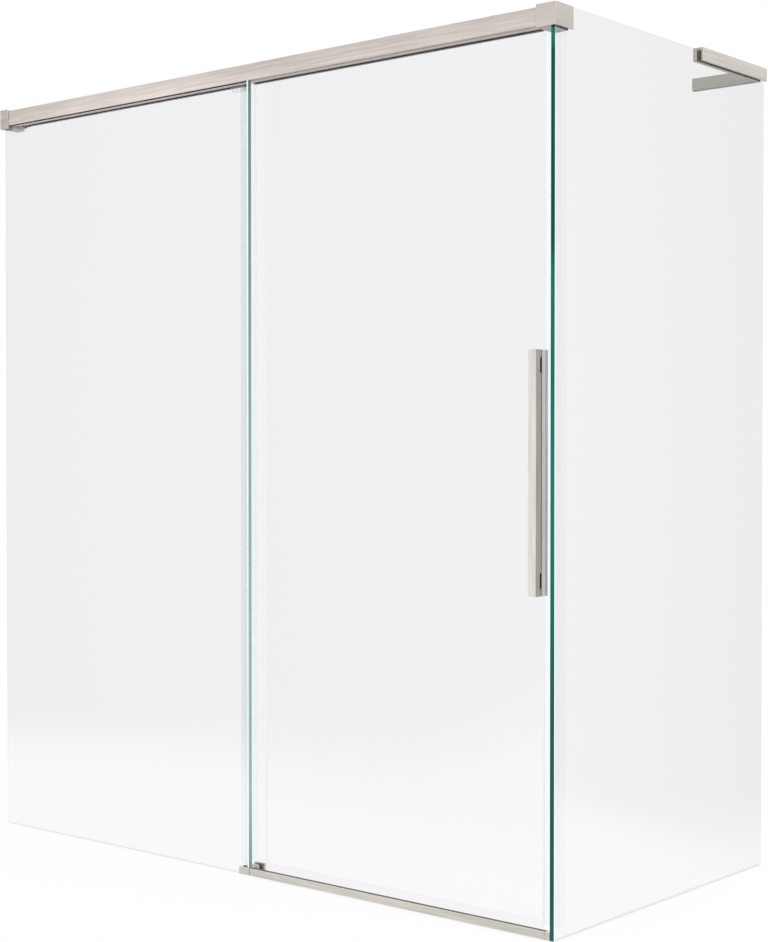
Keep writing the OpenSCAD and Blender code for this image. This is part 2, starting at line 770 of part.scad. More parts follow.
module door_guide_screws() {
    color(steel) place() for (x = guide_screw_x)
        translate([x, door_y - guide_slot / 2 - screw_fit, block_screw_z]) rotate([-90, 0, 0])
            socket_screw(guide_screw_d, guide_screw_head[0], guide_screw_head[1],
                         guide_front + guide_bite);
}

// Channel over the side glass's top edge, running to the wall
module stabiliser_channel() {
    color(nickel) place() difference() {
        along_y(stab_y0, wall_y) difference() {
            round_rect([stab_x0, stab_z0], [stab_x1, stab_z1], cast_edge_r);
            rect([clamp_slot_x[0], stab_z0 - cut], [clamp_slot_x[1], glass_h + grip_rubber]);
        }
        for (z = joint_screw_z) translate([clamp_slot_x[0], joint_screw_y, z]) rotate([0, 90, 0])
            screw_hole(small_grub_d, joint_screw_head[0], joint_screw_head[1], stab_inner + cut);
    }
}

module stabiliser_gasket() {
    color(grey_rubber) place() along_y(stab_y0 + moving_gap, side_l)
        open_channel([clamp_slot_x[0], stab_z0 + 1], [clamp_slot_x[1], glass_h + grip_rubber], grip_rubber);
}

// Arm along the wall, with blind sockets for two wall pegs
module stabiliser_arm() {
    color(nickel) place() difference() {
        along_x(arm_x0, stab_x0) round_rect([arm_y0, stab_z0], [wall_y, stab_z1], cast_edge_r);
        for (x = peg_x) translate([x, wall_y - peg_depth, arm_mid_z]) rotate([-90, 0, 0])
            cylinder(d = peg_d, h = peg_depth + cut);
        for (z = joint_screw_z) translate([stab_x0 + cut, joint_screw_y, z]) rotate([0, -90, 0])
            cylinder(d = small_grub_d + screw_fit, h = joint_bite + blind_end + cut);
        for (x = peg_x) translate([x, wall_y - peg_depth / 2, stab_z0 - cut])
            cylinder(d = small_grub_d + screw_fit, h = stab_h / 2 + cut);
    }
}

module stabiliser_joint_screws() {
    color(steel) place() for (z = joint_screw_z)
        translate([clamp_slot_x[0] - screw_fit, joint_screw_y, z]) rotate([0, 90, 0])
            socket_screw(small_grub_d, joint_screw_head[0], joint_screw_head[1],
                         stab_inner + joint_bite);
}

module stabiliser_grub_screws() {
    color(steel) place() for (x = peg_x)
        translate([x, wall_y - peg_depth / 2, stab_z0 + grub_sink]) rotate([180, 0, 0])
            grub_screw(small_grub_d, stab_h / 2 - peg_d / 2 - 3 * grub_sink);
}

module door_glass() {
    color(clear_glass) place() difference() {
        along_z(door_lift, door_z1) glass_plan([door_x0, door_y0], [door_x1, door_y1]);
        for (z = bolt_z) translate([bolt_x, door_y0 - cut, z]) rotate([-90, 0, 0])
            cylinder(r = bush_r, h = door_t + 2 * cut);
    }
}

// Carrier bonded over the door's top edge, hidden in the rail's slot
module door_carrier() {
    color(steel) place() difference() {
        along_x(door_x0, door_x1) difference() {
            rect([carrier_y0, carrier_z0], [carrier_y1, carrier_z1]);
            rect([door_y0, carrier_z0 - cut], [door_y1, door_z1 + bond_t]);
        }
        for (x = hanger_screw_x) translate([x, door_y, carrier_z1 - carrier_top - cut])
            cylinder(d = small_grub_d + screw_fit, h = carrier_top + 2 * cut);
    }
}

// Angle bracket: its upright leg carries two axles, its flat leg the screws
module hanger(at) {
    difference() {
        along_x(at - hanger_l / 2, at + hanger_l / 2) {
            rect([hanger_y0, hanger_z1 - hanger_h], [carrier_y0, hanger_z1]);
            rect([hanger_y0, carrier_z1], [carrier_y1, hanger_z1]);
        }
        for (s = [-1, 1]) {
            translate([at + s * roller_pitch / 2, hanger_y0 - cut, roll_z]) rotate([-90, 0, 0])
                cylinder(d = axle_d + running_fit, h = hanger_t + 2 * cut);
            translate([at + s * screw_pitch / 2, door_y, hanger_z1])
                screw_hole(small_grub_d, hanger_screw_head[0], hanger_screw_head[1], hanger_t + cut);
        }
    }
}

module left_hanger() {
    color(steel) place() hanger(hanger_x[0]);
}

module right_hanger() {
    color(steel) place() hanger(hanger_x[1]);
}

module hanger_screws() {
    color(steel) place() for (x = hanger_screw_x) translate([x, door_y, hanger_z1 - screw_fit])
        socket_screw(small_grub_d, hanger_screw_head[0], hanger_screw_head[1],
                     hanger_t + carrier_top - bond_t);
}

// Riveted axle, with collars on both sides of the bearing
module roller_axles() {
    head_t = 0.8;
    head_y = roller_y0 - head_t;
    head_d = axle_d + 3;
    collar_d = axle_d + 1.8;
    end_play = 0.1;
    bearing_y = [track_y - bearing_w / 2 - end_play, track_y + bearing_w / 2 + end_play];
    color(steel) place() for (x = roller_x) translate([x, 0, roll_z]) rotate([-90, 0, 0]) {
        translate([0, 0, head_y]) cylinder(d = axle_d, h = carrier_y0 - head_y);
        translate([0, 0, head_y]) cylinder(d = head_d, h = head_t);
        translate([0, 0, head_y]) cylinder(d = collar_d, h = bearing_y[0] - head_y);
        translate([0, 0, bearing_y[1]]) cylinder(d = collar_d, h = hanger_y0 - bearing_y[1]);
    }
}

// Grooved tyre around the bearing
module roller(at) {
    translate([at, roller_y1, roll_z]) rotate([90, 0, 0]) rotate_extrude($fn = 72) difference() {
        rect([bearing_d / 2, 0], [rim_r, roller_w]);
        translate([roll_r + track_gap + rod_d / 2, roller_w / 2]) circle(rod_d / 2 + track_gap);
    }
}

// Bearing in the tyre, with a recess on each side for its shield
module bearing(at) {
    bore_r = axle_d / 2 + running_fit;
    out_r = bearing_d / 2;
    shield = [bore_r + (out_r - bore_r) * 0.3, bore_r + (out_r - bore_r) * 0.75];
    sink = 0.4;
    translate([at, track_y + bearing_w / 2, roll_z]) rotate([90, 0, 0]) rotate_extrude() difference() {
        rect([bore_r, 0], [out_r, bearing_w]);
        rect([shield[0], -cut], [shield[1], sink]);
        rect([shield[0], bearing_w - sink], [shield[1], bearing_w + cut]);
    }
}

module roller_1() { color(white_nylon) place() roller(roller_x[0]); }
module roller_2() { color(white_nylon) place() roller(roller_x[1]); }
module roller_3() { color(white_nylon) place() roller(roller_x[2]); }
module roller_4() { color(white_nylon) place() roller(roller_x[3]); }
module bearing_1() { color(steel) place() bearing(roller_x[0]); }
module bearing_2() { color(steel) place() bearing(roller_x[1]); }
module bearing_3() { color(steel) place() bearing(roller_x[2]); }
module bearing_4() { color(steel) place() bearing(roller_x[3]); }

// Pads on the hangers that stop the door jumping off its track
module anti_lift_pads() {
    pad_l = 16;
    pad_w = 6;
    color(black_nylon) place() for (h = hanger_x) along_x(h - pad_l / 2, h + pad_l / 2)
        round_rect([hanger_y0, hanger_z1], [hanger_y0 + pad_w, roof_z - moving_gap], fine_edge_r);
}

// Nylon shoe on the door's leading top corner, which meets the open stop
module door_shoe() {
    side = 1.5;
    y0 = slot_y0 + side;
    y1 = slot_y1 - side;
    lap = 15;
    step = 2;
    color(clear_plastic) place() difference() {
        union() {
            along_z(rail_z0 - shoe_drop, carrier_z0 - moving_gap)
                round_rect([door_x0 - shoe_l, y0], [door_x0 + lap, y1], cast_edge_r);
            block([door_x0 - shoe_l, y0, rail_z0 - shoe_drop + step],
                  [door_x0, y1, carrier_z1 - step / 2]);
        }
        block([door_x0, door_y0, rail_z0 - shoe_drop - cut], [door_x0 + lap + cut, door_y1, carrier_z1]);
    }
}

// Grip bar, notched at the back for its two spacers
module handle_grip() {
    color(nickel) place() difference() {
        along_z(handle_z0, handle_z1)
            round_rect([handle_x0, grip_y0], [door_x1, grip_y1], handle_edge_r);
        for (z = bolt_z) {
            block([handle_x0 - cut, grip_y1 - spacer_notch, z - spacer_h / 2],
                  [door_x1 + cut, grip_y1 + cut, z + spacer_h / 2]);
            translate([bolt_x, grip_y1 + cut, z]) rotate([90, 0, 0])
                cylinder(d = bolt_d + screw_fit, h = bolt_bite + blind_end + cut);
        }
    }
}

// Bore for both handle bolts, through everything between two depths
module bolt_bores(y0, y1, r) {
    for (z = bolt_z) translate([bolt_x, y0, z]) rotate([-90, 0, 0]) cylinder(r = r, h = y1 - y0);
}

module handle_backing_plate() {
    color(nickel) place() difference() {
        along_z(handle_z0, handle_z1)
            round_rect([handle_x0, backing_y0], [door_x1, backing_y1], fine_edge_r);
        bolt_bores(backing_y0 - cut, backing_y1 + cut, bolt_d / 2 + screw_fit);
    }
}

module handle_inner_plate() {
    color(nickel) place() difference() {
        along_z(handle_z0, handle_z1)
            round_rect([handle_x0, inner_y0], [door_x1, inner_y1], handle_edge_r);
        bolt_bores(inner_y0 - cut, inner_y1 + cut, bolt_d / 2 + screw_fit);
        bolt_bores(inner_y1 - bolt_head[1] - screw_fit, inner_y1 + cut, bolt_head[0] + screw_fit);
    }
}

module handle_pads() {
    color(clear_plastic) place() for (y = [backing_y1, door_y1]) difference() {
        block([handle_x0 + pad_t, y, handle_z0 + pad_t],
              [door_x1 - pad_t, y + pad_t, handle_z1 - pad_t]);
        bolt_bores(y - cut, y + pad_t + cut, bush_r);
    }
}

module handle_spacers() {
    color(black_nylon) place() difference() {
        for (z = bolt_z)
            block([handle_x0 + 3 * screw_fit, grip_y1 - spacer_notch, z - spacer_h / 2 + screw_fit],
                  [door_x1 - 3 * screw_fit, backing_y0, z + spacer_h / 2 - screw_fit]);
        bolt_bores(grip_y1 - spacer_notch - cut, backing_y0 + cut, bolt_d / 2 + screw_fit);
    }
}

module handle_bolts() {
    color(steel) place() for (z = bolt_z)
        translate([bolt_x, inner_y1 - screw_fit, z]) rotate([-90, 0, 0])
            socket_screw(bolt_d, bolt_head[0], bolt_head[1], inner_y1 - grip_y1 + bolt_bite);
}

module handle_bushes() {
    color(white_nylon) place() for (z = bolt_z)
        translate([bolt_x, backing_y1, z]) rotate([-90, 0, 0]) difference() {
            cylinder(r = bush_r - screw_fit, h = door_t + 2 * pad_t);
            translate([0, 0, -cut]) cylinder(d = bolt_d + screw_fit, h = door_t + 2 * pad_t + 2 * cut);
        }
}

top_rail();
track_rod();
fixed_glass_gasket();
pocket_cover();
corner_clamp();
clamp_gasket();
clamp_grub_screws();
rail_end_screws();
wall_cap();
wall_cap_grub_screw();
open_stop();
open_stop_buffer();
open_stop_nut();
open_stop_screw();
closing_buffer();
fixed_glass();
side_glass();
overlap_seal();
strike_seal();
threshold_rail();
threshold_tape();
threshold_drip_seal();
threshold_end_cap();
end_block();
end_block_liner();
end_block_grub_screws();
door_guide();
door_guide_liners();
door_guide_screws();
stabiliser_channel();
stabiliser_gasket();
stabiliser_arm();
stabiliser_joint_screws();
stabiliser_grub_screws();
door_glass();
door_carrier();
left_hanger();
right_hanger();
hanger_screws();
roller_axles();
anti_lift_pads();
door_shoe();
handle_grip();
handle_backing_plate();
handle_inner_plate();
handle_pads();
handle_spacers();
handle_bolts();
handle_bushes();
roller_1();
roller_2();
roller_3();
roller_4();
bearing_1();
bearing_2();
bearing_3();
bearing_4();
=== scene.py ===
import math

import bmesh
import bpy
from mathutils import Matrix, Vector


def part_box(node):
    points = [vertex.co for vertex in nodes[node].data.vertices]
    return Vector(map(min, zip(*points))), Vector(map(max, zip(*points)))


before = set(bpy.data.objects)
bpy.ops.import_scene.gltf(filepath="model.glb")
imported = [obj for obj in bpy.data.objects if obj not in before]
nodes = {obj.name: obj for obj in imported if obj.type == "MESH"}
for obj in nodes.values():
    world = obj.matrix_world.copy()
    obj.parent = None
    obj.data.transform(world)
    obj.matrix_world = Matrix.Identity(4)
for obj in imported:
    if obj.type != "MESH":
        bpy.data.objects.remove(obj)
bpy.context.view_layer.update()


# Floor: a pale disc that the screen stands on, as it would on a bath's rim.
# It looks white and keeps a soft shadow. The glass and metal mirror it white
# close by, and as a dimmer room further off where the glass faces look.
floor_radius = 14.0
floor_drop = 0.001
floor_colour = (0.90, 0.90, 0.90)
patch_centre = (-0.45, -0.25, 0.0)
patch_squeeze = (0.65, 1.0, 1.0)
patch_border = (0.60, 1.62)
shadow_border = (0.8, 2.6)
shadow_depth = 0.22
shadow_lift = 0.10
room_level = 0.22
front_heading = -133.0
side_heading = 52.0
side_dimness = 0.70
sector_border = (0.62, 0.341)


def add_node(tree, kind, sockets=None, **settings):
    node = tree.nodes.new(kind)
    for key, value in settings.items():
        setattr(node, key, value)
    for key, value in (sockets or {}).items():
        socket = node.inputs[key]
        if isinstance(value, bpy.types.NodeSocket):
            tree.links.new(value, socket)
        elif socket.type == "RGBA":
            socket.default_value = (*value, 1.0)
        else:
            socket.default_value = value
    return node


def new_material(name):
    material = bpy.data.materials.new(name)
    material.use_nodes = True
    tree = material.node_tree
    tree.nodes.clear()
    surface = add_node(tree, "ShaderNodeOutputMaterial", name="out").inputs["Surface"]
    return material, tree, surface


def maths(tree, operation, a, b=0.0, clamp=False):
    node = add_node(tree, "ShaderNodeMath", {0: a, 1: b}, operation=operation, use_clamp=clamp)
    return node.outputs[0]


def vector_maths(tree, operation, a, b=(0.0, 0.0, 0.0)):
    node = add_node(tree, "ShaderNodeVectorMath", {0: a, 1: b}, operation=operation)
    return node.outputs["Value" if operation in ("DOT_PRODUCT", "LENGTH") else "Vector"]


def ramp(tree, value, low, high, at_low=0.0, at_high=1.0):
    sockets = {"Value": value, "From Min": low, "From Max": high, "To Min": at_low, "To Max": at_high}
    return add_node(tree, "ShaderNodeMapRange", sockets, interpolation_type="SMOOTHSTEP").outputs["Result"]


def weigh(tree, share, a, b):
    sockets = {"Factor": share, "A": a, "B": b}
    return add_node(tree, "ShaderNodeMix", sockets, data_type="FLOAT").outputs["Result"]


def mix_shaders(tree, share, a, b):
    return add_node(tree, "ShaderNodeMixShader", {"Fac": share, 1: a, 2: b}).outputs[0]


def plain_light(tree, strength, colour=(1.0, 1.0, 1.0)):
    return add_node(tree, "ShaderNodeEmission", {"Color": colour, "Strength": strength}).outputs[0]


def dim_sector(tree, way, heading):
    turned = math.radians(heading)
    aim = vector_maths(tree, "DOT_PRODUCT", way, (math.cos(turned), math.sin(turned), 0.0))
    return ramp(tree, aim, *[math.cos(off) for off in sector_border])


def dim_sectors(tree, way):
    level_way = vector_maths(tree, "NORMALIZE", vector_maths(tree, "MULTIPLY", way, (1.0, 1.0, 0.0)))
    beside = maths(tree, "MULTIPLY", dim_sector(tree, level_way, side_heading), side_dimness)
    return maths(tree, "MAXIMUM", dim_sector(tree, level_way, front_heading), beside)


ring = bmesh.new()
bmesh.ops.create_circle(ring, cap_ends=True, segments=64, radius=floor_radius)
bmesh.ops.translate(ring, verts=ring.verts, vec=(0.0, 0.0, -floor_drop))
floor_mesh = bpy.data.meshes.new("studio_floor")
ring.to_mesh(floor_mesh)
ring.free()
floor = bpy.data.objects.new("studio_floor", floor_mesh)
bpy.context.scene.collection.objects.link(floor)

floor_paint, tree, surface = new_material("floor_paint")
place = add_node(tree, "ShaderNodeTexCoord").outputs["Object"]
off_patch = vector_maths(tree, "MULTIPLY", vector_maths(tree, "SUBTRACT", place, patch_centre), patch_squeeze)
past_patch = ramp(tree, vector_maths(tree, "LENGTH", off_patch), *patch_border)
dim = maths(tree, "MULTIPLY", past_patch, dim_sectors(tree, place))
mirror_level = weigh(tree, dim, 1.0, room_level)
shadow_share = ramp(tree, vector_maths(tree, "LENGTH", place), *shadow_border, shadow_depth, 0.0)
white_level = maths(tree, "ADD", maths(tree, "MULTIPLY", shadow_share, shadow_lift), 1.0)
matt = add_node(tree, "ShaderNodeBsdfDiffuse", {"Color": floor_colour}).outputs[0]
seen = mix_shaders(tree, shadow_share, plain_light(tree, white_level), matt)
path = add_node(tree, "ShaderNodeLightPath").outputs
mirrored = mix_shaders(tree, path["Is Glossy Ray"], matt, plain_light(tree, mirror_level))
shown = maths(tree, "MAXIMUM", path["Is Camera Ray"], path["Is Transmission Ray"])
tree.links.new(mix_shaders(tree, shown, mirrored, seen), surface)
floor_mesh.materials.append(floor_paint)


# Room: a plain white surround that also fills the shadows. Where the glass
# faces look, it is mirrored dim up to a little above the line of sight, so
# that the panes stay clear and only their upper parts pick up white.
skirt_border = (0.28, 0.48)
fill_level = 0.80


def axes(tree, vector, **settings):
    return add_node(tree, "ShaderNodeSeparateXYZ", {"Vector": vector}, **settings).outputs


room = bpy.data.worlds.new("room")
bpy.context.scene.world = room
room.use_nodes = True
tree = room.node_tree
tree.nodes.clear()
way = add_node(tree, "ShaderNodeTexCoord").outputs["Generated"]
low_down = ramp(tree, axes(tree, way)["Z"], *skirt_border, 1.0, 0.0)
dim = maths(tree, "MULTIPLY", low_down, dim_sectors(tree, way))
mirror_level = weigh(tree, dim, 1.0, room_level)
path = add_node(tree, "ShaderNodeLightPath").outputs
unseen_level = weigh(tree, path["Is Glossy Ray"], fill_level, mirror_level)
shown = maths(tree, "MAXIMUM", path["Is Camera Ray"], path["Is Transmission Ray"])
white = {"Color": (1.0, 1.0, 1.0), "Strength": weigh(tree, shown, unseen_level, 1.0)}
backdrop = add_node(tree, "ShaderNodeBackground", white)
add_node(tree, "ShaderNodeOutputWorld", {"Surface": backdrop.outputs[0]})


# Lamps: broad soft boxes, all well above the line of sight, so that they
# shade the metal without showing as sharp patches in the glass.
def soft_box(name, at, aim, size, power):
    lamp = bpy.data.lights.new(name, "AREA")
    lamp.shape = "RECTANGLE"
    lamp.size, lamp.size_y = size
    lamp.energy = power
    holder = bpy.data.objects.new(name, lamp)
    bpy.context.scene.collection.objects.link(holder)
    holder.location = at
    towards = [a - b for a, b in zip(aim, at)]
    flat = math.hypot(towards[0], towards[1])
    holder.rotation_euler = (math.atan2(flat, -towards[2]), 0.0, math.atan2(-towards[0], towards[1]))


soft_box("front_soft_box", at=(-1.4, -3.2, 4.8), aim=(0.0, 0.0, 0.9), size=(2.6, 1.8), power=30.0)
soft_box("side_soft_box", at=(3.6, -0.4, 4.2), aim=(0.3, 0.0, 0.9), size=(2.6, 2.0), power=55.0)
soft_box("rear_soft_box", at=(-0.6, 3.4, 4.6), aim=(0.0, 0.0, 0.9), size=(2.6, 1.8), power=30.0)


# Camera: the photograph was taken from the front right at half the screen's
# height, almost level. Its place comes from the screen's straight edges.
camera_place = (2.3077, -2.6691, 0.7896)
camera_turn = 40.202
camera_tilt = 0.997
sensor_width = 36.0
focal_length = 67.41
framing_shift = (0.0013, 0.0089)

lens = bpy.data.cameras.new("studio_camera")
lens.sensor_width = sensor_width
lens.lens = focal_length
lens.shift_x, lens.shift_y = framing_shift
camera = bpy.data.objects.new("studio_camera", lens)
bpy.context.scene.collection.objects.link(camera)
camera.location = camera_place
camera.rotation_euler = (math.radians(90.0 - camera_tilt), 0.0, math.radians(camera_turn))
bpy.context.scene.camera = camera
bpy.context.scene.view_settings.view_transform = "Standard"


# Top rail: one aluminium extrusion with a pocket for the fixed glass and a
# slot for the door, finished in brushed nickel. It is brushed along its
# length, so fine scratches run that way and the plate's tone drifts a little.
nickel_tone = (0.755, 0.682, 0.640)
nickel_tint = (0.965, 0.985, 0.955)
nickel_metallic = 0.25
nickel_roughness = (0.41, 0.53)
scratch_dark = 0.10
scratch_bright = 0.08
noise_range = (0.3, 0.7)
turned_range = (0.6, 0.8)
mostly_turned = 0.7
edge_range = (0.85, 0.97)
relief_depth = 0.0001
brush_relief = 0.12
# Painted shadow line at a joint: half width, fade width and level.
seam_shadow_line = (0.0005, 0.0014, 0.42)
rail_skin = 0.0012
skin_border = 0.0003
hollow_shade_level = 0.05
rail_low, rail_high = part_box("top_rail")
cap_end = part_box("wall_cap")[1][0]
# Painted light levels for the rail follow: the shade by the slot, the lighter foot and darker top, the
# underside's shade away from the wall, and a soft painted highlight.
slot_edge = rail_high[1] - 0.0155
slot_shadow = 0.009
slot_shade_level = 0.40
seam_in_from_cap = 0.0006
painted_foot_and_top_levels = (1.09, 0.95)
near_wall = (-0.67, -0.56)
past_wall_shade_level = 0.74
gleam_rise = (-0.67, -0.40)
gleam_fall = (-0.30, 0.12)
painted_gleam_level = 1.18


def dress(names, material):
    for name in names:
        slots = nodes[name].data.materials
        slots.clear()
        slots.append(material)


def blend_colours(tree, share, a, b, blend="MIX", **settings):
    sockets = {"Factor": share, "A": a, "B": b}
    node = add_node(tree, "ShaderNodeMix", sockets, data_type="RGBA", blend_type=blend, **settings)
    return node.outputs["Result"]


def stretch(tree, place, scale):
    return add_node(tree, "ShaderNodeMapping", {"Vector": place, "Scale": scale}).outputs["Vector"]


def noise(tree, place, scale, detail):
    sockets = {"Vector": place, "Scale": scale, "Detail": detail}
    return add_node(tree, "ShaderNodeTexNoise", sockets).outputs["Fac"]


def relief(tree, height, strength):
    sockets = {"Height": height, "Strength": strength, "Distance": relief_depth}
    return add_node(tree, "ShaderNodeBump", sockets).outputs["Normal"]


def brushed_nickel(name, grain, tone=nickel_tone, scratched=1.0, side=1.0, front=1.0, under=0.85, painted_edge_level=1.14):
    material, tree, surface = new_material(name)
    place = add_node(tree, "ShaderNodeTexCoord").outputs
    facing = axes(tree, place["Normal"], name="facing")
    axes(tree, place["Object"], name="spot")

    def scratches(along, over, detail):
        scale = tuple(along if axis == grain else over for axis in "XYZ")
        return noise(tree, stretch(tree, place["Object"], scale), 1.0, detail)

    broad = scratches(9.0, 260.0, 3.0)
    fine = scratches(30.0, 2200.0, 2.0)
    drift = scratches(2.0, 14.0, 1.0)
    dull = tuple(c * (1.0 - scratch_dark * scratched) for c in tone)
    bright = tuple(min(1.0, c * (1.0 + scratch_bright * scratched)) for c in tone)
    grey = blend_colours(tree, ramp(tree, broad, *noise_range), dull, bright)
    warm = blend_colours(tree, ramp(tree, drift, *noise_range), grey, nickel_tint, "MULTIPLY")

    turned = [maths(tree, "ABSOLUTE", facing[axis]) for axis in "XYZ"]
    squarest = maths(tree, "MAXIMUM", maths(tree, "MAXIMUM", turned[0], turned[1]), turned[2])
    # Painted highlight on the eased edges: their colour is raised by the edge level, and where that level is
    # below 1 they get painted shade instead.
    shade = ramp(tree, squarest, *edge_range, painted_edge_level, 1.0)
    # Painted shade by facing: sides, fronts and undersides each get their own level, and undersides are
    # painted darker unless told otherwise.
    down = maths(tree, "MULTIPLY", facing["Z"], -1.0)
    for turn, level in ((turned[0], side), (turned[1], front), (down, under)):
        if level != 1.0:
            shade = maths(tree, "MULTIPLY", shade, ramp(tree, turn, *turned_range, 1.0, level))
    metal = add_node(tree, "ShaderNodeBsdfPrincipled", {
        "Base Color": blend_colours(tree, 1.0, warm, shade, "MULTIPLY", name="shaded"),
        "Metallic": nickel_metallic,
        "Roughness": ramp(tree, fine, *noise_range, *nickel_roughness),
        "Normal": relief(tree, fine, brush_relief)})
    tree.links.new(metal.outputs[0], surface)
    return material


def shade_by(material, level, only="all"):
    tree = material.node_tree
    facing = tree.nodes["facing"].outputs
    if only == "under":
        level = weigh(tree, maths(tree, "LESS_THAN", facing["Z"], -mostly_turned), 1.0, level)
    if only == "sides":
        turned = maths(tree, "ABSOLUTE", facing["X"])
        level = weigh(tree, maths(tree, "GREATER_THAN", turned, mostly_turned), 1.0, level)
    shade = tree.nodes["shaded"].inputs["B"]
    so_far = shade.links[0].from_socket
    tree.links.new(maths(tree, "MULTIPLY", so_far, level), shade)


def shade_along(material, axis, low, high, at_low, at_high, only="all"):
    tree = material.node_tree
    level = ramp(tree, tree.nodes["spot"].outputs[axis], low, high, at_low, at_high)
    shade_by(material, level, only)


def shade_line(material, axis, at, half_width, faded_by, level, only="all"):
    tree = material.node_tree
    gap = maths(tree, "ABSOLUTE", maths(tree, "SUBTRACT", tree.nodes["spot"].outputs[axis], at))
    shade_by(material, ramp(tree, gap, half_width, faded_by, level, 1.0), only)


# Painted shade: inside the rail and up its slot the colour is painted nearly
# black. Only the skin keeps its own tone.
def shade_inside_rail(material):
    tree = material.node_tree
    hollow = 1.0
    for axis, number in (("Y", 1), ("Z", 2)):
        spot = tree.nodes["spot"].outputs[axis]
        low = rail_low[number] + rail_skin
        high = rail_high[number] - rail_skin
        past_low = ramp(tree, spot, low, low + skin_border)
        before_high = ramp(tree, spot, high - skin_border, high, 1.0, 0.0)
        hollow = maths(tree, "MULTIPLY", hollow, maths(tree, "MULTIPLY", past_low, before_high))
    shade_by(material, weigh(tree, hollow, 1.0, hollow_shade_level))


# Painted light on the rail: its inside painted nearly black, a thin painted shadow by the wall cap, the face
# painted lighter at the foot than the top, its underside painted darker away from the wall and by the slot,
# and a long painted highlight along the wall-end half.
rail_nickel = brushed_nickel("rail_nickel", "X", under=1.0)
shade_inside_rail(rail_nickel)
# Painted shadow: a thin dark line on the rail by the wall cap's end.
shade_line(rail_nickel, "X", cap_end + seam_in_from_cap, *seam_shadow_line)
shade_along(rail_nickel, "Z", rail_low[2], rail_high[2], *painted_foot_and_top_levels)
shade_along(rail_nickel, "X", *near_wall, 1.0, past_wall_shade_level, only="under")
shade_along(rail_nickel, "Y", slot_edge - slot_shadow, slot_edge, 1.0, slot_shade_level, only="under")
tree = rail_nickel.node_tree
along_rail = tree.nodes["spot"].outputs["X"]
rising = ramp(tree, along_rail, *gleam_rise)
falling = ramp(tree, along_rail, *gleam_fall, 1.0, 0.0)
gleam = maths(tree, "MULTIPLY", rising, falling)
shade_by(rail_nickel, ramp(tree, gleam, 0.0, 1.0, 1.0, painted_gleam_level))
dress(["top_rail"], rail_nickel)


# Pocket cover: a nickel strip that snaps in and closes the rail's pocket where
# the fixed glass ends. Three fine grooves run along its underside. The
# underside is painted darker as shade, a thin painted shadow darkens each
# groove, and its inside is painted nearly black.
groove_shares = (0.25, 0.5, 0.75)
groove_shade_line = (0.0003, 0.0009, 0.62)
cover_low, cover_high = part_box("pocket_cover")

cover_nickel = brushed_nickel("cover_nickel", "X", under=0.55)
shade_inside_rail(cover_nickel)
for share in groove_shares:
    groove = cover_low[1] + share * (cover_high[1] - cover_low[1])
    shade_line(cover_nickel, "Y", groove, *groove_shade_line, only="under")
dress(["pocket_cover"], cover_nickel)


# Wall cap: a cast plate that is screwed to the wall, with a socket that the
# rail slides into. The cast and machined pieces have their sharp edges broken,
# so that a thin line of light runs along them, part lit by the lamps and part
# a painted highlight. The cap's sides get a painted highlight as well.
cap_tone = (0.625, 0.565, 0.53)
cast_edge = 0.0006
machined_edge = 0.0004
weld_distance = 0.00001
flat_angle = 1.0
sharp_angle = 50.0


def ease_edges(names, width):
    for name in names:
        joined = nodes[name].modifiers.new("joined", "WELD")
        joined.merge_threshold = weld_distance
        flats = nodes[name].modifiers.new("flats", "DECIMATE")
        flats.decimate_type = "DISSOLVE"
        flats.angle_limit = math.radians(flat_angle)
        eased = nodes[name].modifiers.new("eased", "BEVEL")
        eased.width = width
        eased.segments = 2
        eased.limit_method = "ANGLE"
        eased.angle_limit = math.radians(sharp_angle)


dress(["wall_cap"], brushed_nickel("cap_nickel", "X", cap_tone, side=1.25))
ease_edges(["wall_cap"], cast_edge)


# Open stop: a small machined block by the wall cap that the door's shoe meets.
# Its foot shows under the rail's slot. The rest is painted nearly black as the
# slot's shade, and a screw and a nut hold it up in the slot.
stop_tone = (0.64, 0.59, 0.55)
stop_foot = 0.014
tuck_border = 0.0005
tucked_shade_level = 0.06
foot_end = cap_end + stop_foot

stop_nickel = brushed_nickel("stop_nickel", "X", stop_tone)
shade_inside_rail(stop_nickel)
shade_along(stop_nickel, "X", foot_end, foot_end + tuck_border, 1.0, tucked_shade_level)
dress(["open_stop"], stop_nickel)
ease_edges(["open_stop"], machined_edge)


# Corner clamp: a cast block with a socket for the rail's end beside a slot for
# the side glass, held by grub screws. It is satin more than brushed, so it
# shows few scratches. It is painted a little lighter at the foot than the top;
# its sides are painted darker as shade, most at the foot, and its underside and
# edges are painted darker too.
clamp_tone = (0.725, 0.66, 0.615)
clamp_painted_levels = (1.03, 0.96)
clamp_side_shade_levels = (0.80, 0.93)
clamp_low, clamp_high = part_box("corner_clamp")

clamp_nickel = brushed_nickel("clamp_nickel", "X", clamp_tone, scratched=0.35, under=0.56, painted_edge_level=0.90)
shade_along(clamp_nickel, "Z", clamp_low[2], clamp_high[2], *clamp_painted_levels)
shade_along(clamp_nickel, "Z", clamp_low[2], clamp_high[2], *clamp_side_shade_levels, only="sides")
dress(["corner_clamp"], clamp_nickel)
ease_edges(["corner_clamp"], cast_edge)


# Threshold bar and end block: a low nickel bar, taped to the bath's rim, that
# keeps the water in under the door. The end block plugs into it and grips the
# fixed glass's lower corner, and a fine painted shadow line darkens the joint
# where the two meet.
threshold_tone = (0.70, 0.665, 0.616)
sill_low, sill_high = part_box("threshold_rail")

threshold_nickel = brushed_nickel("threshold_nickel", "X", threshold_tone)
shade_line(threshold_nickel, "X", sill_low[0], *seam_shadow_line)
dress(["threshold_rail", "end_block"], threshold_nickel)
ease_edges(["end_block"], machined_edge)


# Threshold end cap: a machined cap with a tongue, pushed into the bar's end at
# the side glass. A fine painted shadow line darkens the joint with the bar.
end_cap_tone = (0.69, 0.645, 0.60)

